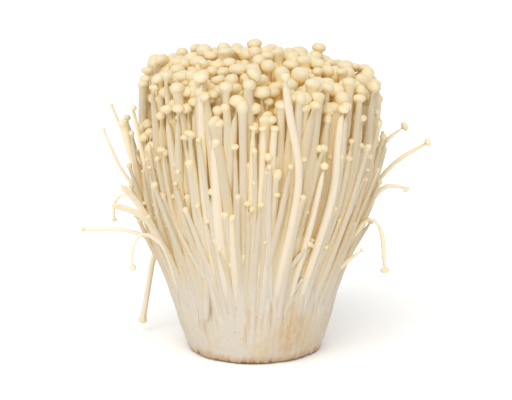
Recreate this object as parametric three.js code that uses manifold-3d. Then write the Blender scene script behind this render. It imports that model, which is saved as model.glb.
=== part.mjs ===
// Enoki mushroom bunch: a fused butt, cut flat underneath, that carries tufts of long thin
// mushrooms and, round them, single mushrooms that stand clear or stray from the bunch.
// Millimetres, +Z up, origin at the centre of the cut face. The front of the bunch faces -Y.
// Angles are in degrees from +X, counter-clockwise seen from above.
import * as THREE from "three";
import { mergeVertices } from "three/addons/utils/BufferGeometryUtils.js";
import Module from "manifold-3d";

const wasm = await Module();
wasm.setup();

// ---- Driving dimensions ----

const FOOT_RADIUS = 30; // the cut face that the bunch stands on
const FOOT_BEVEL = 1.4; // the worn edge of the cut
const SHOULDER_RADIUS = 40; // top of the fused butt, where the stems part
const SHOULDER_HEIGHT = 34;
const CROWN_RADIUS = 54; // the bunch where it is widest
const SPREAD_HEIGHT = 100; // height at which it is that wide
const CROWN_HEIGHT = 140; // top of the tallest cap
const CROWN_DROP = 16.5; // how much lower the caps stand at the rim of the crown
const CROWN_SLOPE = 1; // how much lower still at +X, and higher at -X
const CROWN_LEAN = 3; // the whole crown leans this far towards +X
const CROWN_SPLAY = 0.13; // how far, in radians, stems fan out to both sides as they rise
const CROWN_LOBES = 0.035; // how far its lobes stand out, as a share of the radius
const RIB_HEIGHT = 0.4; // ribs down the side of the butt
const GAP = 0.3; // clearance between pieces that touch

const TUFT_RINGS = 3; // rings of tufts round the one in the centre
const TUFT_SHARE = 0.9; // share of the bunch's radius that the tufts fill
const RIM_SHARE = 0.955; // where the single mushrooms stand
const ROOT_PAD_HEIGHT = 6; // joined foot of a tuft, at its lowest
const ROOT_PAD_SPREAD = 7; // how much higher the highest of them is
const STEM_RADIUS = 1.3;
const CAP_RADII = [2.1, 3.1]; // of a short mushroom and of a tall one in a tuft
const CAP_RADIUS_SPREAD = 1.4; // how much wider the widest cap of a tall one is
const SHORTFALL = 11; // how far below the crown a mushroom in a tuft may end
const RIM_SHORTFALL = 46; // the same in the outermost row
const CAP_ZONE = 7; // caps that end this close in height grow side by side
const MUSHROOM_SIDES = 5;

const CREAM = 0xf0e2c0;
const IVORY = 0xe4d6bc;
const PALE = 0xf3e8d0;

// ---- How the bunch spreads as it rises ----

const radians = THREE.MathUtils.degToRad;
const { clamp, lerp, smoothstep } = THREE.MathUtils;

// A repeatable number from 0 to 1 for each pair of whole numbers.
function scatter(a, b) {
  const s = Math.sin(a * 12.9898 + b * 78.233) * 43758.5453;
  return s - Math.floor(s);
}

function bunchRadius(z) {
  const rise = clamp((z - SHOULDER_HEIGHT) / (SPREAD_HEIGHT - SHOULDER_HEIGHT), 0, 1);
  return lerp(SHOULDER_RADIUS, CROWN_RADIUS, Math.sin((rise * Math.PI) / 2));
}

// The point at height z on the stem line that starts at the share rho of the radius. Stem
// lines never cross, so a piece built between them stays clear of its neighbours.
function stemLine(rho, angle, z) {
  const rise = smoothstep(z, SHOULDER_HEIGHT, SPREAD_HEIGHT);
  const turned = angle - CROWN_SPLAY * rise * rho * Math.sin(2 * angle);
  const lobe = 1 + CROWN_LOBES * rise * rho * Math.sin(5 * angle + 2);
  const radius = rho * bunchRadius(z) * lobe;
  return new THREE.Vector3(
    radius * Math.cos(turned) + CROWN_LEAN * rise,
    radius * Math.sin(turned),
    z,
  );
}

const crownHeight = (rho, angle) =>
  CROWN_HEIGHT - CROWN_DROP * rho * rho - CROWN_SLOPE * rho * Math.cos(angle);

// ---- Solids ----

function solidOf(geometry) {
  const bare = new THREE.BufferGeometry();
  bare.setAttribute("position", geometry.getAttribute("position").clone());
  if (geometry.index) bare.setIndex(geometry.index.clone());
  const merged = mergeVertices(bare, 1e-4);
  const corners = [];
  for (let i = 0; i < merged.index.count; i += 3) {
    const [a, b, c] = [0, 1, 2].map((k) => merged.index.getX(i + k));
    if (a !== b && b !== c && c !== a) corners.push(a, b, c);
  }
  return new wasm.Manifold(
    new wasm.Mesh({
      numProp: 3,
      vertProperties: new Float32Array(merged.attributes.position.array),
      triVerts: new Uint32Array(corners),
    }),
  );
}

function geometryOf(solid) {
  const mesh = solid.getMesh();
  const geometry = new THREE.BufferGeometry();
  geometry.setAttribute("position", new THREE.BufferAttribute(mesh.vertProperties, 3));
  geometry.setIndex(new THREE.BufferAttribute(mesh.triVerts, 1));
  geometry.computeVertexNormals();
  return geometry;
}

const joined = (geometries) =>
  geometryOf(geometries.map(solidOf).reduce((whole, piece) => whole.add(piece)));

const bunch = new THREE.Group();

function addPiece(name, geometry, color, roughness) {
  const material = new THREE.MeshStandardMaterial({ color, roughness, metalness: 0 });
  const mesh = new THREE.Mesh(geometry, material);
  mesh.name = name;
  bunch.add(mesh);
}

// ---- One mushroom: a tapered stem with a domed cap, turned and then bent along its line ----

function mushroomGeometry(line, { foot, neck, cap, bends = 2 }) {
  const length = line.getLength();
  const capHeight = 0.8 + 0.9 * cap;
  const profile = [new THREE.Vector2(0, 0)];
  for (let i = 0; i <= bends; i++) {
    const share = i / bends;
    profile.push(new THREE.Vector2(lerp(foot, neck, share), share * (length - capHeight)));
  }
  profile.push(
    new THREE.Vector2(cap, length - capHeight * 0.62),
    new THREE.Vector2(cap * 0.66, length - capHeight * 0.14),
    new THREE.Vector2(0, length),
  );
  const geometry = new THREE.LatheGeometry(profile, MUSHROOM_SIDES);
  const places = geometry.getAttribute("position");
  const start = line.getPointAt(0);
  const side = new THREE.Vector3(-start.y, start.x, 0).normalize();
  for (let i = 0; i < places.count; i++) {
    const share = clamp(places.getY(i) / length, 0, 1);
    const along = line.getTangentAt(share);
    const across = side.clone().addScaledVector(along, -side.dot(along)).normalize();
    const outward = across.clone().cross(along);
    const place = line
      .getPointAt(share)
      .addScaledVector(across, places.getX(i))
      .addScaledVector(outward, places.getZ(i));
    places.setXYZ(i, place.x, place.y, place.z);
  }
  return geometry;
}

// ---- The butt: stem feet and mycelium grown into one tapered plug, with the ribs of the
// outer stems down its side ----

function buttGeometry() {
  const wallSteps = 5;
  const profile = [new THREE.Vector2(0, 0), new THREE.Vector2(FOOT_RADIUS - FOOT_BEVEL, 0)];
  for (let i = 0; i <= wallSteps; i++) {
    const share = i / wallSteps;
    const bulge = share + 0.3 * share * (1 - share);
    const radius = lerp(FOOT_RADIUS, SHOULDER_RADIUS, bulge);
    profile.push(new THREE.Vector2(radius, lerp(FOOT_BEVEL, SHOULDER_HEIGHT, share)));
  }
  profile.push(new THREE.Vector2(0, SHOULDER_HEIGHT));
  const geometry = new THREE.LatheGeometry(profile, 56);
  geometry.rotateX(Math.PI / 2); // the turning axis becomes +Z
  const places = geometry.getAttribute("position");
  for (let i = 0; i < places.count; i++) {
    const [x, y, z] = [places.getX(i), places.getY(i), places.getZ(i)];
    const angle = Math.atan2(y, x);
    const ribs = RIB_HEIGHT * (Math.sin(14 * angle + 1) + 0.7 * Math.sin(9 * angle + z / 9));
    const radius = Math.hypot(x, y);
    const swell = radius > FOOT_RADIUS / 2 ? 1 + ribs / radius : 1;
    places.setXYZ(i, x * swell, y * swell, z);
  }
  return geometry;
}

addPiece("butt", geometryOf(solidOf(buttGeometry())), IVORY, 0.8);

// ---- Tufts: each is a root pad, a sector of the bunch, with a handful of mushrooms on it ----

const ROOT_HEIGHT = SHOULDER_HEIGHT + GAP; // where tufts and single mushrooms start
const BAND = TUFT_SHARE / (TUFT_RINGS + 0.5); // share of the radius that one ring takes
const RING_NAMES = ["centre", "inner", "middle", "outer"];

// A shape drawn in shares of the radius, raised along the stem lines through it.
function grownPad(shape, depth, curveSegments) {
  const pad = new THREE.ExtrudeGeometry(shape, { depth, bevelEnabled: false, curveSegments });
  const places = pad.getAttribute("position");
  for (let i = 0; i < places.count; i++) {
    const [x, y] = [places.getX(i), places.getY(i)];
    const height = ROOT_HEIGHT + places.getZ(i);
    const place = stemLine(Math.hypot(x, y), Math.atan2(y, x), height);
    places.setXYZ(i, place.x, place.y, place.z);
  }
  return pad;
}

function rootPadGeometry(tuft) {
  const inner = Math.max(tuft.ring - 0.5, 0) * BAND;
  const outer = (tuft.ring + 0.5) * BAND;
  const inset = GAP / SHOULDER_RADIUS;
  const sector = new THREE.Shape();
  if (tuft.ring === 0) {
    sector.absarc(0, 0, outer - inset, 0, 2 * Math.PI);
  } else {
    const edge = (rho) => tuft.halfAngle - inset / rho;
    const [near, far] = [inner + inset, outer - inset];
    sector.absarc(0, 0, far, tuft.angle - edge(far), tuft.angle + edge(far));
    sector.absarc(0, 0, near, tuft.angle + edge(near), tuft.angle - edge(near), true);
  }
  const depth = ROOT_PAD_HEIGHT + ROOT_PAD_SPREAD * scatter(tuft.number, 5);
  return grownPad(sector, depth, tuft.ring === 0 ? 10 : 2);
}

// Rows of mushrooms on a tuft: [rows from the ring's middle, in bands; mushrooms in the row].
function rowsOf(ring) {
  if (ring === 0) return [[0.29, 4]];
  return [[-0.25, 2], [0.24, 3]];
}

const tufts = [];
const mushrooms = [];
for (let ring = 0; ring <= TUFT_RINGS; ring++) {
  const count = Math.max(6 * ring, 1);
  for (let n = 0; n < count; n++) {
    const tuft = {
      name: ring === 0 ? "tuft_centre" : `tuft_${RING_NAMES[ring]}_${n + 1}`,
      number: tufts.length,
      ring,
      angle: ((n + 0.5 * (ring % 2)) * 2 * Math.PI) / count,
      halfAngle: Math.PI / count,
    };
    tufts.push(tuft);
    rowsOf(ring).forEach(([offset, inRow], row) => {
      for (let i = 0; i < inRow; i++) {
        const number = mushrooms.length;
        const rho = (ring + offset) * BAND;
        const angle = tuft.angle + tuft.halfAngle * ((2 * i + 1) / inRow - 1);
        const onRim = ring === TUFT_RINGS && row === 1;
        const chance = scatter(number, 1);
        const shorter = onRim ? RIM_SHORTFALL * chance ** 2 : SHORTFALL * chance;
        const tip = crownHeight(rho, angle) - shorter;
        const grown = smoothstep(tip, 60, 122); // short mushrooms have small caps
        const wider = CAP_RADIUS_SPREAD * grown * scatter(number, 2);
        const wanted = lerp(...CAP_RADII, grown) + wider;
        mushrooms.push({ tuft, rho, angle, tip, wanted, foot: STEM_RADIUS });
      }
    });
  }
}

// ---- Single mushrooms round the rim ----
// rootAngle: where it stands. leaves: the height up to which it follows the bunch's side.
// via: points it then bends through, and tip: the top of its cap, as [x, y, z].

const singles = [
  {
    name: "stray_left_bowed", rootAngle: 176, leaves: 62, foot: 1.1, neck: 0.7, cap: 0.9,
    via: [[-59.5, 3, 80]], tip: [-67.7, 5, 99.8],
  },
  {
    name: "stray_left_thin", rootAngle: 168, leaves: 74, foot: 1.1, neck: 0.7, cap: 0.8,
    via: [[-58.5, 11, 95]], tip: [-64.6, 13, 109.5],
  },
  {
    name: "stray_left_funnel", rootAngle: 184, leaves: 62, foot: 1.3, neck: 1.7, cap: 2.3,
    via: [[-53.5, -4, 86]], tip: [-58.5, -5, 105.5],
  },
  {
    name: "stray_left_upper", rootAngle: 192, leaves: 76, foot: 1.1, neck: 0.9, cap: 1.8,
    via: [[-50.5, -11, 97]], tip: [-53.5, -13, 113.5],
  },
  {
    name: "stray_left_peeled", rootAngle: 200, leaves: 44, foot: 1.7, neck: 1.5, cap: 1.7,
    via: [[-50, -18, 69]], tip: [-58.5, -22, 80],
  },
  {
    name: "stray_left_splayed", rootAngle: 208, leaves: 46, foot: 1.7, neck: 1.6, cap: 1.8,
    via: [[-48.5, -26, 67]], tip: [-62, -32, 73],
  },
  {
    name: "stray_left_level", rootAngle: 160, leaves: 38, foot: 1.1, neck: 0.9, cap: 1.4,
    via: [[-54, 20, 48], [-66, 23, 49]], tip: [-80, 25, 48],
  },
  {
    name: "stray_left_hooked", rootAngle: 152, leaves: 46, foot: 1.1, neck: 0.9, cap: 1.3,
    via: [[-54, 28, 62], [-64, 33, 65], [-66, 34, 59]], tip: [-65, 33, 50],
  },
  {
    name: "stray_left_drooped", rootAngle: 216, leaves: 44, foot: 1.2, neck: 0.9, cap: 1.9,
    via: [[-44, -31, 59], [-51, -36, 61.5], [-53.5, -38, 56]], tip: [-52.5, -37, 45],
  },
  {
    name: "stray_left_hanging", rootAngle: 144, leaves: 36.5, foot: 1.5, neck: 1.3, cap: 2.2,
    via: [[-38.5, 26, 43], [-45, 27, 41], [-48, 25, 27]], tip: [-52, 22, 4],
  },
  {
    name: "stray_right_high", rootAngle: 12, leaves: 82, foot: 1.2, neck: 0.9, cap: 2.3,
    via: [[60, 13, 94]], tip: [69.5, 15, 99],
  },
  {
    name: "stray_right_far", rootAngle: 2, leaves: 66, foot: 1.2, neck: 0.9, cap: 2.1,
    via: [[60, 2, 82], [69, 3, 89]], tip: [79, 3, 94],
  },
  {
    name: "stray_right_arched", rootAngle: -8, leaves: 56, foot: 1.4, neck: 1.1, cap: 1.7,
    via: [[56, -9, 75], [62, -10, 79]], tip: [68.5, -11, 74.5],
  },
  {
    name: "stray_right_drooped", rootAngle: -18, leaves: 42, foot: 1.3, neck: 1.0, cap: 2.0,
    via: [[48, -16, 61], [54, -18, 66.5], [56.5, -19, 60]], tip: [58, -19, 39],
  },
  {
    name: "stray_right_low", rootAngle: -28, leaves: 37, foot: 1.1, neck: 0.7, cap: 0.9,
    via: [[41.5, -21, 45]], tip: [48, -24, 51],
  },
  {
    name: "front_tall_left", rootAngle: -114, leaves: 134, foot: 1.7, neck: 1.9, cap: 3.6,
  },
  {
    name: "front_funnel", rootAngle: -108, leaves: 106, foot: 1.9, neck: 2.0, cap: 2.5,
  },
  {
    name: "front_trio", rootAngle: -89, leaves: 112, foot: 1.4, neck: 1.3, cap: 1.6,
    besides: [-3.9, 3.9],
  },
  {
    name: "front_twisted", rootAngle: -75, leaves: 98, foot: 1.6, neck: 1.5, cap: 2.3,
    via: [[15, -49.5, 108], [13.5, -50.5, 122]], tip: [12.5, -48, 134],
  },
  {
    name: "front_flame", rootAngle: -65, leaves: 95, foot: 1.7, neck: 1.2, cap: 1.9,
  },
  {
    name: "front_leaning", rootAngle: -57, leaves: 92, foot: 1.6, neck: 1.6, cap: 2.6,
    via: [[34, -37.5, 106]], tip: [37.5, -37, 118],
  },
  {
    name: "front_short", rootAngle: -101, leaves: 73, foot: 1.8, neck: 1.5, cap: 1.7,
  },
];

// The line of a mushroom that follows the bunch from root to height, then the given points.
function growthLine(rho, angle, root, height, beyond = []) {
  const steps = height - root > 20 ? 3 : 1;
  const points = [];
  for (let i = 0; i <= steps; i++)
    points.push(stemLine(rho, angle, lerp(root, height, i / steps)));
  beyond.forEach((place) => points.push(new THREE.Vector3(...place)));
  return new THREE.CatmullRomCurve3(points, false, "centripetal");
}

const SINGLE_ROOT = ROOT_HEIGHT + 0.6; // a leaning foot dips a little below its line

const singleGeometry = (single, rootAngle) =>
  mushroomGeometry(
    growthLine(
      RIM_SHARE,
      radians(rootAngle),
      SINGLE_ROOT,
      single.leaves,
      single.tip ? [...single.via, single.tip] : [],
    ),
    { ...single, bends: single.via ? 7 : 2 },
  );

for (const single of singles) {
  const beside = (single.besides ?? []).map((turn) => single.rootAngle + turn);
  const angles = [single.rootAngle, ...beside];
  const geometries = angles.map((angle) => singleGeometry(single, angle));
  if (beside.length) geometries.push(footBar(single, Math.min(...angles), Math.max(...angles)));
  addPiece(single.name, joined(geometries), PALE, 0.65);
}

// The joined foot of single mushrooms that grow side by side: a short arc of the rim.
function footBar(single, from, to) {
  const half = (single.foot * 0.8) / SHOULDER_RADIUS;
  const arc = new THREE.Shape();
  arc.absarc(0, 0, RIM_SHARE + half, radians(from), radians(to));
  arc.absarc(0, 0, RIM_SHARE - half, radians(to), radians(from), true);
  return grownPad(arc, ROOT_PAD_HEIGHT, 2);
}

// ---- Caps grow until they meet the neighbouring tuft's caps and stems ----

for (const single of singles)
  mushrooms.push({
    tuft: null,
    rho: RIM_SHARE,
    angle: radians(single.rootAngle),
    tip: single.leaves,
    wanted: single.cap,
    foot: single.foot,
  });

function capRoom(mushroom) {
  const top = stemLine(mushroom.rho, mushroom.angle, mushroom.tip);
  const room = mushrooms.map((other) => {
    if (other.tuft === mushroom.tuft || other.tip < mushroom.tip - CAP_ZONE) return Infinity;
    const apart = stemLine(other.rho, other.angle, mushroom.tip).distanceTo(top);
    const capsMeet = other.tip < mushroom.tip + CAP_ZONE;
    return capsMeet ? (apart - GAP) / 2 : apart - other.foot - GAP;
  });
  return Math.min(...room);
}

for (const tuft of tufts) {
  const geometries = mushrooms
    .filter((mushroom) => mushroom.tuft === tuft)
    .map((mushroom) => {
      const cap = Math.max(Math.min(mushroom.wanted, capRoom(mushroom)), STEM_RADIUS);
      return mushroomGeometry(
        growthLine(mushroom.rho, mushroom.angle, ROOT_HEIGHT + 1, mushroom.tip),
        { foot: STEM_RADIUS, neck: STEM_RADIUS * 0.9, cap },
      );
    });
  addPiece(tuft.name, joined([rootPadGeometry(tuft), ...geometries]), CREAM, 0.6);
}

export default bunch;
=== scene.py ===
import math
import random
from bisect import bisect_right

import bmesh
import bpy
from mathutils import Matrix, Vector, noise
from mathutils.geometry import interpolate_bezier


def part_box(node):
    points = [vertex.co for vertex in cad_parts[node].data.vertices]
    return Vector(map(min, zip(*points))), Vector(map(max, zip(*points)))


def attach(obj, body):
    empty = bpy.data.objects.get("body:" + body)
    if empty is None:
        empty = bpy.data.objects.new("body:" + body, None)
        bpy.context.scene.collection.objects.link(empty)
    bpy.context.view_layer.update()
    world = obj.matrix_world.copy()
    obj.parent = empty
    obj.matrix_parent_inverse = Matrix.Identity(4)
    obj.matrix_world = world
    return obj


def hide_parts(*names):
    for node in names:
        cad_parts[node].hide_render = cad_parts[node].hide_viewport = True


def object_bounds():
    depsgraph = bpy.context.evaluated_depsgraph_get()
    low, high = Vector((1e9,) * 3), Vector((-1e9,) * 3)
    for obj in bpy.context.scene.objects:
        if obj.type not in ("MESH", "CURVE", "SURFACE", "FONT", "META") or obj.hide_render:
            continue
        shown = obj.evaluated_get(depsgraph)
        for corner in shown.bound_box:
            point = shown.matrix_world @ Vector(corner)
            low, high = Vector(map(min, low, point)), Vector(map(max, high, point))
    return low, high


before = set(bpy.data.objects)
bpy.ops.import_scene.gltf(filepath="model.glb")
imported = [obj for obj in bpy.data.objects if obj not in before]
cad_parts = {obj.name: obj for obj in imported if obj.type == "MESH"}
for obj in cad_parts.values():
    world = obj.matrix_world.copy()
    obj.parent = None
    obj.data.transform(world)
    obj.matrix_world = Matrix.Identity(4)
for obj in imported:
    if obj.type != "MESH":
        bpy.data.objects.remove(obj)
cad_low, cad_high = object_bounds()


# ---- Camera ----
# A long lens a metre in front of the bunch and a little above it, so that the side of the
# bunch and the top of its crown both show.

CAMERA_DISTANCE = 1.0
CAMERA_RISE = math.radians(13)
CAMERA_TARGET = Vector((0.0009, 0, 0.0678))

camera = bpy.data.objects.new("camera", bpy.data.cameras.new("camera"))
camera.data.lens = 156.6
camera.data.clip_start = 0.01
camera.location = CAMERA_TARGET + CAMERA_DISTANCE * Vector(
    (0, -math.cos(CAMERA_RISE), math.sin(CAMERA_RISE))
)
camera.rotation_euler = (math.pi / 2 - CAMERA_RISE, 0, 0)
bpy.context.scene.collection.objects.link(camera)
bpy.context.scene.camera = camera


# ---- Floor and light ----
# A plain white table under a bright even sky, with one very soft light from the upper left
# in front, which leaves a faint shadow behind the butt and to its right.

bpy.context.scene.view_settings.view_transform = "Standard"

SKY_LIGHT = 0.88
KEY_LIGHT = 1.75
KEY_WIDTH = math.radians(60)
FLOOR_COLOUR = (0.97, 0.967, 0.96, 1)

world = bpy.data.worlds.new("sky")
world.use_nodes = True
world.node_tree.nodes["Background"].inputs["Color"].default_value = (1, 0.997, 0.99, 1)
world.node_tree.nodes["Background"].inputs["Strength"].default_value = SKY_LIGHT
bpy.context.scene.world = world

key = bpy.data.objects.new("key_light", bpy.data.lights.new("key_light", "SUN"))
key.data.energy = KEY_LIGHT
key.data.angle = KEY_WIDTH
key.rotation_euler = Vector((0.24, 0.76, -0.85)).to_track_quat("-Z", "Y").to_euler()
bpy.context.scene.collection.objects.link(key)

bm = bmesh.new()
bmesh.ops.create_grid(bm, x_segments=1, y_segments=1, size=3.0)
bmesh.ops.translate(bm, verts=bm.verts, vec=(0, 0, -0.0002))
floor = bpy.data.objects.new("floor", bpy.data.meshes.new("floor"))
bm.to_mesh(floor.data)
bm.free()
bpy.context.scene.collection.objects.link(floor)
floor_paint = bpy.data.materials.new("table_top")
floor_paint.use_nodes = True
floor_paint.node_tree.nodes["Principled BSDF"].inputs["Base Color"].default_value = FLOOR_COLOUR
floor_paint.node_tree.nodes["Principled BSDF"].inputs["Roughness"].default_value = 0.9
floor.data.materials.append(floor_paint)


# ---- Butt ----
# The feet of all the stems, grown together with the mycelium they rose from into one tapered
# plug. Its side is ribbed by the outer stems, and a knife has cut it flat underneath, where
# the edge has dried brown.

BUTT_STEPS = 300
BUTT_RINGS = 32
RIM_HEIGHT = 0.0006
LUMP_DEPTH = 0.0009
RIPPLE_DEPTH = 0.0003
RIB_COUNT = 74
RIB_UNEVEN = 0.32  # share of their spacing by which the creases between the ribs stray
RIB_DEPTH = 0.0011
CREASE_WIDTH = 0.045  # radians from the middle of a crease to its edge
CREASE_SWAY = 0.03
STEMS_PROUD = 0.0020  # how far the stems on its side stand out of it at the shoulder
PLUG_TOP = 0.044  # the height up to which the stems' feet are grown together
FRAYED_HEIGHT = 0.005  # the knife has left the rim ragged up to here
FRAYED_DEPTH = 0.026  # as a share of the radius
CROWN_RADIUS = 0.054
SPREAD_HEIGHT = 0.100

butt_low, butt_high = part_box("butt")
SHOULDER_HEIGHT = butt_high.z
SHOULDER_RADIUS = (butt_high.y - butt_low.y) / 2
FOOT_RADIUS = SHOULDER_RADIUS * 0.745


class Value:
    """A shader socket that takes part in sums: each sum on it adds a Math node."""

    def __init__(self, shader, socket):
        self.shader = shader
        self.socket = socket

    def math(self, operation, first, second):
        return self.shader.node("ShaderNodeMath", {"operation": operation}, {0: first, 1: second})

    def __add__(self, other):
        return self.math("ADD", self, other)

    __radd__ = __add__

    def __sub__(self, other):
        return self.math("SUBTRACT", self, other)

    def __rsub__(self, other):
        return self.math("SUBTRACT", other, self)

    def __mul__(self, other):
        return self.math("MULTIPLY", self, other)

    __rmul__ = __mul__


class Shader:
    """A material whose nodes are added one call at a time."""

    def __init__(self, name):
        self.material = bpy.data.materials.new(name)
        self.material.use_nodes = True
        self.tree = self.material.node_tree
        self.surface = self.tree.nodes["Principled BSDF"]

    def node(self, kind, settings=None, sockets=None, out=0):
        node = self.tree.nodes.new(kind)
        for key, setting in (settings or {}).items():
            setattr(node, key, setting)
        for key, given in (sockets or {}).items():
            self.put(node.inputs[key], given)
        return Value(self, node.outputs[out])

    def put(self, socket, given):
        """Links a value to a socket, or sets the socket to a number or colour."""
        if isinstance(given, Value):
            self.tree.links.new(given.socket, socket)
        else:
            socket.default_value = given

    def coordinates(self, source="Object", scale=(1, 1, 1)):
        """Places on the piece: on its Object coordinates, or on a named attribute."""
        if source == "Object":
            place = self.node("ShaderNodeTexCoord", out="Object")
        else:
            place = self.node("ShaderNodeAttribute", {"attribute_name": source}, out="Vector")
        return self.node("ShaderNodeMapping", sockets={"Vector": place, "Scale": scale})

    def parts(self, vector):
        """The three numbers of a vector."""
        split = self.node("ShaderNodeSeparateXYZ", sockets={"Vector": vector})
        return [Value(self, socket) for socket in split.socket.node.outputs]

    def noise(self, vector, scale, detail=3.0, roughness=0.5):
        """Soft random spots, finer as scale rises."""
        sockets = {"Vector": vector, "Scale": scale, "Detail": detail, "Roughness": roughness}
        return self.node("ShaderNodeTexNoise", sockets=sockets)

    def between(self, value, low, high):
        """0 below low, 1 above high, and a smooth step from one to the other."""
        return self.node(
            "ShaderNodeMapRange",
            {"interpolation_type": "SMOOTHSTEP"},
            {"Value": value, "From Min": low, "From Max": high},
        )

    def painted_gap_shade_mask(self, reach):
        """A mask for painted gap shade, from ambient occlusion: 1 in gaps that are narrower than
        reach and 0 on what stands open.
        """
        settings = {"samples": 4}
        open_share = self.node("ShaderNodeAmbientOcclusion", settings, {"Distance": reach}, "AO")
        return 1 - self.between(open_share, 0.3, 1.0)

    def mix(self, share, first, second):
        """Two colours mixed."""
        sockets = {0: share, 6: first, 7: second}
        return self.node("ShaderNodeMix", {"data_type": "RGBA"}, sockets, out=2)

    def bump(self, height, distance, strength=1.0):
        """A normal that makes the surface look raised where height is high."""
        sockets = {"Height": height, "Distance": distance, "Strength": strength}
        return self.node("ShaderNodeBump", sockets=sockets)

    def finish(self, **sockets):
        """Sets the surface's own sockets, with _ for a space in their names."""
        for key, given in sockets.items():
            self.put(self.surface.inputs[key.replace("_", " ").title()], given)
        return self.material


BUTT_PALE = (0.585, 0.53, 0.445, 1)
BUTT_WARM = (0.58, 0.47, 0.32, 1)
# The next colour serves the stain and the specks, and the painted shade in the creases.
BUTT_STAIN_AND_CREASE_SHADE = (0.52, 0.34, 0.15, 1)
BUTT_DRIED = (0.46, 0.28, 0.13, 1)
BUTT_CUT = (0.14, 0.075, 0.03, 1)
STAIN_PLACE = (0.017, -0.030, 0.009)


def butt_material():
    shader = Shader("butt_flesh")
    place = shader.coordinates()
    height = shader.parts(place)[2]
    fibre = shader.noise(shader.coordinates(scale=(1, 1, 0.07)), 900, 4.0, 0.6)
    patch = shader.noise(shader.coordinates(scale=(1, 1, 0.5)), 60, 3.0)
    crease = shader.coordinates("ribs")
    depth = shader.parts(crease)[0]
    low_down = 1 - shader.between(height, 0.010, 0.034)
    colour = shader.mix(shader.between(patch, 0.42, 0.7) * low_down, BUTT_PALE, BUTT_WARM)
    colour = shader.mix(shader.between(fibre, 0.45, 0.75) * low_down * 0.5, colour, BUTT_WARM)
    # Painted shade in the creases between the ribs, darker the deeper the crease.
    colour = shader.mix(shader.between(depth, 0.2, 0.9) * 0.6, colour, BUTT_STAIN_AND_CREASE_SHADE)
    ragged = shader.noise(shader.coordinates(scale=(1, 1, 0.4)), 350, 4.0, 0.7)
    sockets = {0: shader.coordinates(scale=(1, 1, 0.6)), 1: STAIN_PLACE}
    apart = shader.node("ShaderNodeVectorMath", {"operation": "DISTANCE"}, sockets, "Value")
    stained = 1 - shader.between(apart + patch * 0.014, 0.008, 0.021)
    colour = shader.mix(stained * shader.between(ragged, 0.25, 0.6) * 0.8, colour, BUTT_STAIN_AND_CREASE_SHADE)
    edge = height - ragged * 0.009
    colour = shader.mix((1 - shader.between(edge, -0.0048, 0.0008)) * 0.9, colour, BUTT_DRIED)
    colour = shader.mix(1 - shader.between(edge, -0.0052, -0.0034), colour, BUTT_CUT)
    freckle = shader.between(shader.noise(place, 420, 2.0), 0.69, 0.75)
    colour = shader.mix(freckle * 0.7, colour, BUTT_DRIED)
    grain = shader.bump(fibre + shader.noise(place, 420, 3.0) * 0.8, 0.0006, 0.9)
    return shader.finish(
        base_color=colour,
        roughness=0.62 + fibre * 0.2,
        normal=grain,
    )


def bunch_radius(z):
    """Radius of the bunch, over its outer stems, at height z."""
    if z < SHOULDER_HEIGHT:
        share = max(z / SHOULDER_HEIGHT, 0)
        return FOOT_RADIUS + (SHOULDER_RADIUS - FOOT_RADIUS) * share * (1.3 - 0.3 * share)
    rise = min((z - SHOULDER_HEIGHT) / (SPREAD_HEIGHT - SHOULDER_HEIGHT), 1)
    return SHOULDER_RADIUS + (CROWN_RADIUS - SHOULDER_RADIUS) * math.sin(rise * math.pi / 2)


def plug_depth(z, angle):
    """How far the butt lies under the stems on its side. They come out of it unevenly."""
    ragged = 0.55 * noise.noise(Vector((9 * math.cos(angle), 9 * math.sin(angle), 0)))
    up = min(max((z / SHOULDER_HEIGHT - 0.5 + ragged) / 0.8, 0), 1)
    return STEMS_PROUD * up * up * (3 - 2 * up)


ribs = random.Random(4)
rib_angles = [
    (n + ribs.uniform(-RIB_UNEVEN, RIB_UNEVEN)) * 2 * math.pi / RIB_COUNT
    for n in range(RIB_COUNT)
]
rib_merges = [ribs.random() for n in range(RIB_COUNT)]  # how high up a crease starts


def crease_at(angle, z):
    """How deep the surface lies in the creases between the ribs there, from 0 to 1."""
    up = min(max(z / SHOULDER_HEIGHT, 0), 1)
    around = Vector((3 * math.cos(angle), 3 * math.sin(angle), z * 40))
    sway = CREASE_SWAY * noise.noise(around)
    deepest = 0.0
    for rib, merge in zip(rib_angles, rib_merges):
        apart = abs((angle + sway - rib + math.pi) % (2 * math.pi) - math.pi)
        if apart < CREASE_WIDTH:
            opened = min(max((up - 0.75 * merge) / 0.45, 0.3), 1)
            deepest = max(deepest, opened * (1 - apart / CREASE_WIDTH) ** 1.5)
    return deepest


def show(piece, node, material):
    """Makes the finished piece that stands for a CAD node."""
    shown = bpy.data.objects.new(node + "_grown", bpy.data.meshes.new(node + "_grown"))
    piece.to_mesh(shown.data)
    piece.free()
    bpy.context.scene.collection.objects.link(shown)
    shown.modifiers.new("rounding", "SUBSURF").levels = 1
    shown.modifiers["rounding"].render_levels = 1
    shown.data.materials.append(material)
    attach(shown, "root")
    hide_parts(node)


bm = bmesh.new()
outline = [bm.verts.new((0, 0, 0)), bm.verts.new((FOOT_RADIUS * 0.6, 0, 0))]
outline.append(bm.verts.new((FOOT_RADIUS * 0.985, 0, 0)))
for n in range(BUTT_RINGS + 1):
    z = RIM_HEIGHT + (PLUG_TOP - RIM_HEIGHT) * n / BUTT_RINGS
    outline.append(bm.verts.new((bunch_radius(z), 0, z)))
outline.append(bm.verts.new((SHOULDER_RADIUS * 0.8, 0, PLUG_TOP + 0.001)))
outline.append(bm.verts.new((0, 0, PLUG_TOP + 0.001)))
edges = [bm.edges.new(pair) for pair in zip(outline, outline[1:])]
bmesh.ops.spin(
    bm,
    geom=outline + edges,
    cent=(0, 0, 0),
    axis=(0, 0, 1),
    angle=2 * math.pi,
    steps=BUTT_STEPS,
    use_merge=True,
)
bmesh.ops.remove_doubles(bm, verts=bm.verts, dist=1e-6)
bmesh.ops.recalc_face_normals(bm, faces=bm.faces)
rib_layer = bm.verts.layers.float_vector.new("ribs")
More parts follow.
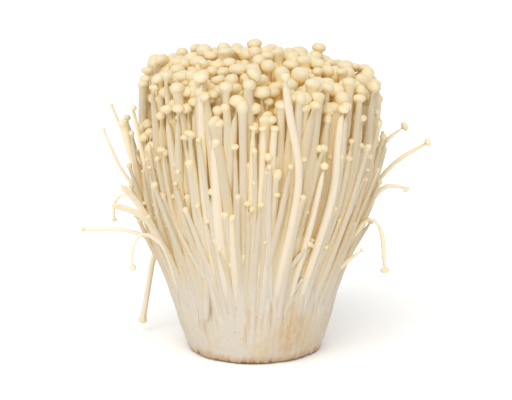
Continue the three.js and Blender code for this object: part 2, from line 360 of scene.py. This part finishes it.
for v in bm.verts:
    radius = math.hypot(v.co.x, v.co.y)
    if radius < FOOT_RADIUS * 0.8:
        continue
    angle = math.atan2(v.co.y, v.co.x)
    crease = crease_at(angle, v.co.z)
    lump = noise.noise(Vector((v.co.x * 90, v.co.y * 90, v.co.z * 45)))
    ripple = noise.noise(Vector((v.co.x * 420, v.co.y * 420, v.co.z * 120)))
    depth = RIB_DEPTH * crease + plug_depth(v.co.z, angle)
    swell = 1 + (LUMP_DEPTH * lump + RIPPLE_DEPTH * ripple - depth) / radius
    frayed = max(1 - v.co.z / FRAYED_HEIGHT, 0)
    fray = noise.noise(Vector((v.co.x * 400, v.co.y * 400, v.co.z * 200)))
    swell += FRAYED_DEPTH * frayed * fray
    v.co.x *= swell
    v.co.y *= swell
    v[rib_layer] = (crease, 0, 0)
for face in bm.faces:
    face.smooth = True
show(bm, "butt", butt_material())


# ---- Tufts ----
# Handfuls of mushrooms that share their feet, packed side by side round the middle. The
# flesh is cream, moist and slightly see-through. Each mushroom is a long stem, as thick as a
# straw, under a small round cap; the ones inside are taller and the ones at the rim shorter.

CROWN_LEAN = 0.003
CROWN_DROP = 0.0165
CROWN_SLOPE = 0.001
SPLAY = 0.13  # radians by which stems fan out to both sides as they rise
FINE_SPLAY = 0.22  # and the finer ones
FOOT_SUNK = 0.05  # the share of the radius by which a foot starts deeper than its stem
FOOT_SINKS = 0.03  # the height over which it comes out to its stem
SIDES = 6
ROOT_SHARE = 0.965  # the share of the radius at which the outer stems are rooted
KNOTS = 5  # of a stem's line, below its tip
LINE_STEPS = 8  # straight pieces from one knot to the next
STEM_OVAL = 0.16
STEM_UNEVEN = 0.07
HEAD_TILT = 0.25
HEAD_WAVE = 0.12
# Where the painted gap shade is strongest: in stems deep inside the bunch and low under the
# highest caps.
WALL_SHARE = 0.92  # what lies deeper than this share of the radius is in the gaps
WALL_FADE = 0.011
CAPS_DEPTH = 0.003  # and so is what lies lower than this under the highest caps
CAPS_FADE = 0.014

# The outline of a head, from its underside to its top, in shares of the cap's radius and of
# the head's height.
HEADS = {
    "round": (1.5, [(0.82, 0.10), (1.0, 0.40), (0.88, 0.74), (0.50, 0.97)]),
    "egg": (1.85, [(0.86, 0.10), (1.0, 0.38), (0.80, 0.72), (0.42, 0.97)]),
    "button": (1.2, [(0.80, 0.08), (1.0, 0.36), (0.92, 0.72), (0.52, 0.97)]),
    "flat": (0.95, [(0.82, 0.06), (1.0, 0.34), (0.92, 0.78), (0.52, 0.97)]),
    "funnel": (1.7, [(0.80, 0.15), (0.95, 0.55), (1.0, 0.82), (0.62, 0.97)]),
    "pin": (1.7, [(0.90, 0.10), (1.0, 0.45), (0.85, 0.75), (0.50, 0.97)]),
    "torn": (3.5, [(0.9, 0.20), (0.75, 0.45), (0.45, 0.75), (0.20, 0.95)]),
}


def lean(z):
    """How far the bunch leans towards +X at height z."""
    rise = min(max((z - SHOULDER_HEIGHT) / (SPREAD_HEIGHT - SHOULDER_HEIGHT), 0), 1)
    return CROWN_LEAN * rise * rise * (3 - 2 * rise)


def bunch_place(share, angle, z):
    """The point at height z and a share of the bunch's radius."""
    radius = share * bunch_radius(z)
    return Vector((radius * math.cos(angle) + lean(z), radius * math.sin(angle), z))


def bunch_share(place):
    """The share of the radius and the angle at which a point lies."""
    x = place.x - lean(place.z)
    return math.hypot(x, place.y) / bunch_radius(place.z), math.atan2(place.y, x)


def crown_height(share, angle):
    """Height of the highest caps at a share of the radius."""
    return cad_high.z - CROWN_DROP * share * share - CROWN_SLOPE * share * math.cos(angle)


class GrowthLine:
    """A smooth line through points, with the turn that stands a ring square across it."""

    def __init__(self, knots):
        places = []
        for n in range(len(knots) - 1):
            a, b = knots[n], knots[n + 1]
            before, after = knots[max(n - 1, 0)], knots[min(n + 2, len(knots) - 1)]
            third = (b - a).length / 3
            leaving = a + third * (b - before).normalized()
            arriving = b - third * (after - a).normalized()
            places += interpolate_bezier(a, leaving, arriving, b, LINE_STEPS + 1)[:-1]
        places.append(knots[-1])
        self.places = places
        self.reach = [0.0]
        self.turns = []
        ahead, turn = Vector((0, 0, 1)), Matrix.Identity(3).to_quaternion()
        for a, b in zip(places, places[1:]):
            self.reach.append(self.reach[-1] + (b - a).length)
            turn = ahead.rotation_difference(b - a) @ turn
            ahead = b - a
            self.turns.append(turn)
        self.turns.append(turn)
        self.length = self.reach[-1]

    def bend(self, point):
        """Where a point goes that was modelled along an upright line."""
        n = min(max(bisect_right(self.reach, point.z) - 1, 0), len(self.places) - 2)
        share = (point.z - self.reach[n]) / max(self.reach[n + 1] - self.reach[n], 1e-9)
        centre = self.places[n].lerp(self.places[n + 1], share)
        turn = self.turns[n].slerp(self.turns[n + 1], min(max(share, 0), 1))
        return centre + turn @ Vector((point.x, point.y, 0))


def grow_mushroom(piece, knots, foot, neck, cap, head, chance, flat=1.0, joints=3, sides=SIDES):
    """Adds one mushroom to a piece: its outline is turned, then bent along its line."""
    round_up = 1 / (0.75 + 0.25 * math.cos(2 * math.pi / sides))  # smoothing draws it in
    line = GrowthLine(knots)
    height_factor, outline = HEADS[head]
    head_height = height_factor * cap
    stem = line.length - head_height
    places = [(0, 0)]
    for n in range(joints + 1):
        share = n / joints
        thickness = foot + (neck - foot) * share
        thickness *= 1 + chance.uniform(-STEM_UNEVEN, STEM_UNEVEN)
        places.append((thickness, stem * share))
    if head == "funnel":
        places[-2] = (neck, places[-2][1])
        places[-1] = ((neck + cap) / 2, stem)
    places += [(cap * r, stem + head_height * z) for r, z in outline]
    places.append((0, line.length))

    bm = bmesh.new()
    verts = [bm.verts.new((r * round_up, 0, z)) for r, z in places]
    edges = [bm.edges.new(pair) for pair in zip(verts, verts[1:])]
    bmesh.ops.spin(
        bm,
        geom=verts + edges,
        cent=(0, 0, 0),
        axis=(0, 0, 1),
        angle=2 * math.pi,
        steps=sides,
        use_merge=True,
    )
    bmesh.ops.remove_doubles(bm, verts=bm.verts, dist=1e-6)
    bmesh.ops.recalc_face_normals(bm, faces=bm.faces)
    growth = bm.verts.layers.float_vector.new("growth")
    grain = bm.verts.layers.float_vector.new("grain")

    tone = chance.random()
    oval = 1 + chance.uniform(0, STEM_OVAL)
    turned = chance.uniform(0, math.pi)
    tilt = Matrix.Rotation(chance.gauss(0, HEAD_TILT), 3, "X")
    tilt.rotate(Matrix.Rotation(chance.uniform(0, math.pi), 3, "Z"))
    start = Vector([chance.uniform(0, 9) for n in range(3)])
    for v in bm.verts:
        v[grain] = v.co + start
        on_head = v.co.z > stem + 1e-6
        v.co.rotate(Matrix.Rotation(turned, 3, "Z"))
        v.co.x *= oval * flat
        v.co.y /= oval * flat
        if on_head and head != "torn":
            wavy = noise.noise(v.co * 260 + start) * HEAD_WAVE
            v.co.x *= 1 + wavy
            v.co.y *= 1 - wavy
            above = Vector((0, 0, stem))
            v.co = above + tilt @ (v.co - above)
        v.co = line.bend(v.co)
        share, angle = bunch_share(v.co)
        # How far a point lies inside the bunch and under the crown, which deepens the painted gap
        # shade.
        inward = (WALL_SHARE - share) * bunch_radius(v.co.z) / WALL_FADE
        below = (crown_height(share, angle) - CAPS_DEPTH - v.co.z) / CAPS_FADE
        inward, below = min(max(inward, 0), 1), min(max(below, 0), 1)
        v[growth] = (tone, inward * below, 1.0 if on_head else 0.0)
    for face in bm.faces:
        face.smooth = True
    grown = bpy.data.meshes.new("grown")
    bm.to_mesh(grown)
    bm.free()
    piece.from_mesh(grown)
    bpy.data.meshes.remove(grown)


def line_up(root_height, root_share, tip, chance, wander, splay=SPLAY, astray=0.0):
    """Knots of a stem from its root in the butt, along the flare of the bunch, to its tip."""
    tip_share, tip_angle = bunch_share(tip)
    root_angle = tip_angle + splay * tip_share * math.sin(2 * tip_angle)
    root_angle += chance.gauss(0, astray)
    knots = []
    for n in range(KNOTS):
        up = n / KNOTS
        z = root_height + (tip.z - root_height) * up
        share = root_share + (tip_share - root_share) * up
        share -= FOOT_SUNK * max(1 - (z - root_height) / FOOT_SINKS, 0)
        angle = root_angle + (tip_angle - root_angle) * up
        place = bunch_place(share, angle, z)
        loose = wander * math.sin(math.pi * min(up * 1.15, 1) * 0.8)
        place.x += chance.uniform(-loose, loose)
        place.y += chance.uniform(-loose, loose)
        knots.append(place)
    return knots + [tip]


CAP_COLOUR = (0.74, 0.63, 0.40, 1)
# Painted gap shade and glow: how narrow a gap must be to take them, and the colour of the painted
# glow that stands in for light let through the stems.
GAP_REACH = 0.007  # gaps narrower than this look deep
PAINTED_GAP_GLOW = (0.14, 0.08, 0.018, 1)  # light that the stems let through into the gaps
NO_GLOW = (0, 0, 0, 1)


def flesh_material(name, pale, warm, painted_gap_colour, see_through=0.0, rooted=1.0):
    """Mushroom flesh: pale to warm from one stem to the next, with a painted warm ochre shade and
    a painted glow in the gaps. rooted is how far its feet take on the butt's colour."""
    shader = Shader(name)
    tone, depth, cap = shader.parts(shader.coordinates("growth"))
    along = shader.coordinates("grain", (1, 1, 0.06))
    fibre = shader.noise(along, 1500, 4.0, 0.6)
    cloud = shader.noise(shader.coordinates("grain"), 160, 3.0)
    height = shader.parts(shader.coordinates())[2]
    colour = shader.mix(tone * 0.8 + cloud * 0.2, pale, warm)
    colour = shader.mix(shader.between(fibre, 0.5, 0.8) * 0.35 * (1 - cap), colour, warm)
    colour = shader.mix(shader.between(height, 0.06, 0.1) * 0.4, colour, warm)
    colour = shader.mix(cap * 0.65, colour, CAP_COLOUR)
    # Painted shade in the gaps: narrow gaps take a bright ochre colour that stands in for the warm
    # light and shade there, the more so deep in the bunch and low under the crown.
    painted_gap_shade = shader.painted_gap_shade_mask(GAP_REACH) * (0.45 + depth * 0.55)
    colour = shader.mix(painted_gap_shade, colour, painted_gap_colour)
    foot = (1 - shader.between(height, 0.015, 0.05)) * rooted
    colour = shader.mix(foot, colour, BUTT_PALE)
    freckle = shader.between(shader.noise(shader.coordinates("grain"), 380, 2.0), 0.76, 0.8)
    colour = shader.mix(freckle * 0.5, colour, BUTT_STAIN_AND_CREASE_SHADE)
    grain = shader.bump(fibre * (1 - cap * 0.7) + cloud * 0.4, 0.00016, 0.6)
    return shader.finish(
        base_color=colour,
        roughness=0.5 - cap * 0.1 + fibre * 0.12,
        normal=grain,
        # a painted glow in the same gaps
        emission_color=shader.mix(painted_gap_shade, NO_GLOW, PAINTED_GAP_GLOW),
        emission_strength=1.0,
        subsurface_weight=see_through,
        subsurface_radius=(0.004, 0.0022, 0.0009),
        subsurface_scale=0.5,
    )


# The third of its colours is the painted ochre of the gap shade.
tuft_flesh = flesh_material(
    "tuft_flesh", (0.585, 0.545, 0.465, 1), (0.53, 0.44, 0.305, 1), (0.90, 0.72, 0.34, 1)
)


def copied_mesh(node):
    """A joined-up copy of a CAD node's mesh."""
    bm = bmesh.new()
    bm.from_mesh(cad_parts[node].data)
    bmesh.ops.remove_doubles(bm, verts=bm.verts, dist=1e-6)
    bm.verts.index_update()
    return bm


def rings_from(start):
    """The vertices of a mesh ring by ring, from the one at a pole."""
    seen, ring = {start}, [start]
    while ring:
        yield ring
        nearby = {edge.other_vert(v) for v in ring for edge in v.link_edges}
        ring = sorted(nearby - seen, key=lambda v: v.index)
        seen.update(ring)


def middle(ring):
    """The centre of a ring of vertices."""
    return sum((v.co for v in ring), Vector()) / len(ring)


def ring_radius(ring):
    """The distance from the centre of a ring to its farthest vertex."""
    centre = middle(ring)
    return max((v.co - centre).length for v in ring)


SOLID_SIDES = 5  # of the CAD model's stems and caps


def caps_of(node):
    """(top, cap radius) of each mushroom on a CAD node that stands upright."""
    bm = copied_mesh(node)
    found = []
    for v in bm.verts:
        if all(edge.other_vert(v).co.z < v.co.z - 1e-5 for edge in v.link_edges):
            rings = rings_from(v)
            top, dome, rim = next(rings)[0], next(rings), next(rings)
            if len(dome) == len(rim) == SOLID_SIDES:
                found.append((top.co.copy(), ring_radius(rim)))
    bm.free()
    return sorted(found, key=lambda cap: tuple(cap[0]))


# Finer mushrooms between the ones that have solids: how many each tuft has, the shares of the
# radius they rise at, how far below the crown they end, and the radius of the caps of the
# highest and of the lowest of them.
FILLERS = {
    "outer": [
        {"count": 8, "shares": (0.93, 0.97), "low": (-0.003, 0.066), "cap": (0.0030, 0.0017)},
        {"count": 6, "shares": (0.87, 0.93), "low": (-0.006, 0.034), "cap": (0.0034, 0.0022)},
        {"count": 8, "shares": (0.95, 0.98), "low": (0.045, 0.090), "cap": (0.0014, 0.0009)},
        {"count": 3, "shares": (0.97, 1.03), "low": (0.012, 0.070), "cap": (0.0019, 0.0011)},
        {"count": 8, "shares": (0.70, 0.87), "low": (0.000, 0.014), "cap": (0.0038, 0.0026)},
    ],
    "middle": [
        {"count": 10, "shares": (0.40, 0.72), "low": (0.001, 0.014), "cap": (0.0038, 0.0026)},
    ],
    "inner": [
        {"count": 7, "shares": (0.14, 0.42), "low": (0.001, 0.013), "cap": (0.0038, 0.0026)},
    ],
    "centre": [
        {"count": 5, "shares": (0.02, 0.14), "low": (0.001, 0.012), "cap": (0.0038, 0.0026)},
    ],
}

# Mushrooms that catch the eye: degrees round the bunch, share of its radius, height, radius
# of the cap, head, and by how many degrees the foot stands aside of the cap.
PICKED_OUT = [
    (-126, 0.96, 0.1080, 0.0032, "flat", 4),
    (-110, 0.95, 0.1140, 0.0029, "button", -5),
    (-102, 0.97, 0.1040, 0.0021, "button", 0),
    (-101, 0.93, 0.1246, 0.0036, "round", -16),
    (-107, 0.93, 0.1210, 0.0026, "round", -4),
    (-112, 0.93, 0.1196, 0.0025, "round", 0),
    (-85, 0.93, 0.1160, 0.0028, "button", -3),
    (-80, 0.92, 0.1220, 0.0032, "flat", 2),
    (-45, 0.91, 0.1236, 0.0036, "round", -9),
    (-40, 0.94, 0.0998, 0.0020, "round", -8),
    (-73, 0.97, 0.0967, 0.0018, "pin", 0),
    (-86, 0.97, 0.0928, 0.0018, "button", 2),
    (-61, 0.96, 0.1025, 0.0019, "pin", -6),
    (-89, 0.98, 0.0785, 0.0017, "button", -2),
    (-133, 0.97, 0.0903, 0.0016, "round", 4),
    (-97, 0.98, 0.0540, 0.0015, "button", -5),
    (-103, 0.98, 0.0504, 0.0014, "pin", 6),
    (-135, 0.98, 0.0515, 0.0012, "pin", 3),
    (170, 0.47, 0.1380, 0.0038, "round", 0),
    (163, 0.32, 0.1385, 0.0034, "round", 0),
    (10, 0.48, 0.1385, 0.0036, "button", 0),
]

# Two that lie across the front of the crown: the knots of their lines, and their caps.
LYING = [
    (
        [(-0.021, -0.031, 0.020), (-0.020, -0.040, 0.070), (-0.0165, -0.042, 0.108)]
        + [(-0.0125, -0.043, 0.1215), (-0.004, -0.0435, 0.128), (0.002, -0.0435, 0.134)],
        0.0037,
        "button",
    ),
    (
        [(0.017, -0.031, 0.020), (0.021, -0.036, 0.080), (0.022, -0.039, 0.115)]
        + [(0.0205, -0.0445, 0.1235), (0.0195, -0.0485, 0.1215)],
        0.0044,
        "flat",
    ),
]

# Loose ones that lean out of the sides: how many, between which angles in degrees, at which
# shares of the radius, and at which heights their tips are.
FRINGE = [
    {"count": 18, "angles": (158, 222), "shares": (1.02, 1.18), "heights": (0.060, 0.106)},
    {"count": 12, "angles": (-40, 25), "shares": (1.01, 1.11), "heights": (0.058, 0.104)},
]

tuft_nodes = sorted(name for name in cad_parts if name.startswith("tuft_"))
tuft_caps = {node: caps_of(node) for node in tuft_nodes}
tuft_middles = {
    node: sum((tip for tip, cap in caps), Vector()) / len(caps)
    for node, caps in tuft_caps.items()
}


def nearest_tuft(tip):
    """The tuft that a tip belongs to."""
    return min(tuft_nodes, key=lambda node: (tuft_middles[node] - tip).to_2d().length)


ATTEMPTS = 5  # places tried for each of the finer ones
grown_caps = [(tip, cap) for caps in tuft_caps.values() for tip, cap in caps]


def freest(tips, cap):
    """The one of some tips that stands clearest of the caps grown so far."""
    tips_and_room = []
    for tip in tips:
        near = [other for other in grown_caps if abs(other[0].x - tip.x) < 0.01]
        room = min(((place - tip).length - other for place, other in near), default=1)
        tips_and_room.append((room, tuple(tip)))
    tip = Vector(max(tips_and_room)[1])
    grown_caps.append((tip, cap))
    return tip


chance = random.Random(60)
fringe = []
for side in FRINGE:
    for n in range(side["count"]):
        angle = math.radians(chance.uniform(*side["angles"]))
        tip = bunch_place(chance.uniform(*side["shares"]), angle, chance.uniform(*side["heights"]))
        fringe.append((tip, chance.uniform(0.0009, 0.0019)))

for number, node in enumerate(tuft_nodes):
    chance = random.Random(number)
    ring = node.split("_")[1]
    in_ring = sum(name.startswith("tuft_" + ring) for name in tuft_nodes)
    tuft_angle = bunch_share(tuft_middles[node])[1]
    piece = bmesh.new()
    for tip, cap in tuft_caps[node]:
        share, angle = bunch_share(tip)
        knots = line_up(0.024, share * 0.98, tip, chance, 0.0014)
        cap *= chance.uniform(1.05, 1.25)
        neck = cap * chance.uniform(0.48, 0.62)
        head = chance.choice(["round", "button", "button", "egg", "flat"])
        grow_mushroom(piece, knots, neck * 1.1, neck, cap, head, chance)
    for filler in FILLERS[ring]:
        for n in range(filler["count"]):
            down = chance.random() ** 1.15
            least, most = filler["low"]
            largest, smallest = filler["cap"]
            cap = (largest + (smallest - largest) * down) * chance.uniform(0.85, 1.1)
            tips = []
            for attempt in range(ATTEMPTS):
                turn = (n + chance.random()) / filler["count"] - 0.5
                angle = tuft_angle + 2 * math.pi / in_ring * turn
                share = chance.uniform(*filler["shares"])
                height = crown_height(share, angle) - least - (most - least) * down
                tips.append(bunch_place(share, angle, height))
            tip = freest(tips, cap)
            share = bunch_share(tip)[0]
            height = tip.z
            neck = cap * (chance.uniform(0.56, 0.70) + 0.16 * down)
            foot = max(min(neck * chance.uniform(1.0, 1.5), 0.0022), 0.0010)
            root = min(0.004 + 0.030 * chance.random(), height - 0.022)
            astray = chance.choice([0.03, 0.06, 0.12])
            root_share = min(share, ROOT_SHARE)
            knots = line_up(root, root_share, tip, chance, 0.0016, FINE_SPLAY, astray)
            head = "pin" if cap < 0.0014 else chance.choice(["round", "button", "button", "egg"])
            flat = chance.uniform(0.85, 1.2)
            grow_mushroom(piece, knots, foot, neck, cap, head, chance, flat)
    for degrees, share, height, cap, head, aside in PICKED_OUT:
        tip = bunch_place(share, math.radians(degrees), height)
        if nearest_tuft(tip) == node:
            knots = line_up(0.014, share, tip, chance, 0.0006)
            for n, knot in enumerate(knots[:-1]):
                turn = math.radians(aside) * (1 - n / KNOTS)
                knot.rotate(Matrix.Rotation(turn, 3, "Z"))
            neck = max(cap * 0.55, 0.0012)
            grow_mushroom(piece, knots, neck * 1.3, neck, cap, head, chance)
    for tip, cap in fringe:
        if nearest_tuft(tip) == node:
            knots = line_up(0.020, ROOT_SHARE, tip, chance, 0.0024)
            grow_mushroom(piece, knots, 0.0013, max(cap * 0.6, 0.0008), cap, "round", chance)
    for places, cap, head in LYING:
        knots = [Vector(place) for place in places]
        if nearest_tuft(knots[-1]) == node:
            grow_mushroom(piece, knots, 0.0018, 0.0016, cap, head, chance)
    show(piece, node, tuft_flesh)


# ---- Stray mushrooms ----
# Single mushrooms that leave the sides of the bunch: bowed, level, hooked and hanging ones,
# and two broad ones whose stems have peeled away. Their thin stems are drier and paler.

SEE_THROUGH = 0.1  # weight of the light that scatters inside a stem that stands clear
# The third of its colours is the painted ochre of the gap shade.
stray_flesh = flesh_material(
    "stray_flesh",
    (0.82, 0.75, 0.61, 1),
    (0.76, 0.65, 0.45, 1),
    (0.80, 0.62, 0.34, 1),
    SEE_THROUGH,
    rooted=0.3,
)
TORN_FLAT = 1.5  # a peeled stem is this much broader one way and thinner the other
TORN_SLIM = 0.6  # and this share of its solid's thickness
STRAY_HEADS = {
    "stray_left_funnel": "funnel",
    "stray_left_peeled": "torn",
    "stray_left_splayed": "torn",
    "stray_left_bowed": "pin",
    "stray_left_thin": "pin",
    "stray_right_low": "pin",
}


def line_of(node):
    """Ring middles and ring radii of a single CAD mushroom, from its foot to its top."""
    bm = copied_mesh(node)

    def unevenness(v):
        around = [edge.other_vert(v) for edge in v.link_edges]
        return (middle(around) - v.co).length

    foot = min(bm.verts, key=unevenness)
    rings = list(rings_from(foot))
    middles = [middle(ring) for ring in rings]
    radii = [ring_radius(ring) for ring in rings]
    bm.free()
    return middles, radii


def root_knots(place):
    """Two knots inside the butt, under the foot of a single mushroom."""
    share, angle = bunch_share(place)
    return [bunch_place(share * 0.88, angle, 0.012), bunch_place(share * 0.96, angle, 0.026)]


strays = sorted(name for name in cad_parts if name.startswith("stray_"))
for number, node in enumerate(strays):
    chance = random.Random(100 + number)
    middles, radii = line_of(node)
    knots = root_knots(middles[0]) + middles[1:-3] + [middles[-1]]
    head = STRAY_HEADS.get(node, "button")
    flat, slim = (TORN_FLAT, TORN_SLIM) if head == "torn" else (1, 1)
    foot, neck, cap = (radius * slim for radius in (radii[1], radii[-4], radii[-3]))
    piece = bmesh.new()
    grow_mushroom(piece, knots, foot, neck, cap, head, chance, flat, joints=9, sides=10)
    show(piece, node, stray_flesh)


# ---- Front mushrooms ----
# The ones that stand clear in front: a tall one with a broad cap, a funnel, three side by
# side on one foot, a twisted one, a flame, a leaning one and a short blunt one.

# The third of its colours is the painted ochre of the gap shade.
front_flesh = flesh_material(
    "front_flesh",
    (0.70, 0.63, 0.51, 1),
    (0.66, 0.57, 0.42, 1),
    (0.92, 0.72, 0.38, 1),
    SEE_THROUGH,
)
CLEAR_OF_WALL = 0.0018  # how far they stand out of the bunch's side
FRONT_HEADS = {
    "front_funnel": "funnel",
    "front_trio": "flat",
    "front_twisted": "funnel",
    "front_flame": "pin",
    "front_short": "pin",
}

fronts = sorted(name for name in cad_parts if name.startswith("front_"))
for number, node in enumerate(fronts):
    chance = random.Random(200 + number)
    head = FRONT_HEADS.get(node, "button")
    piece = bmesh.new()
    if node == "front_trio":
        for tip, cap in caps_of(node):
            knots = line_up(0.014, 0.95, tip, chance, 0.0004)
            grow_mushroom(piece, knots, 0.0018, 0.0015, cap * 1.3, head, chance, sides=10)
    else:
        middles, radii = line_of(node)
        knots = root_knots(middles[0]) + middles[1:-3] + [middles[-1]]
        for knot in knots[3:]:
            knot += CLEAR_OF_WALL * Vector((knot.x, knot.y, 0)).normalized()
        foot, neck, cap = radii[1], radii[-4], radii[-3]
        grow_mushroom(piece, knots, foot, neck, cap, head, chance, joints=7, sides=10)
    show(piece, node, front_flesh)
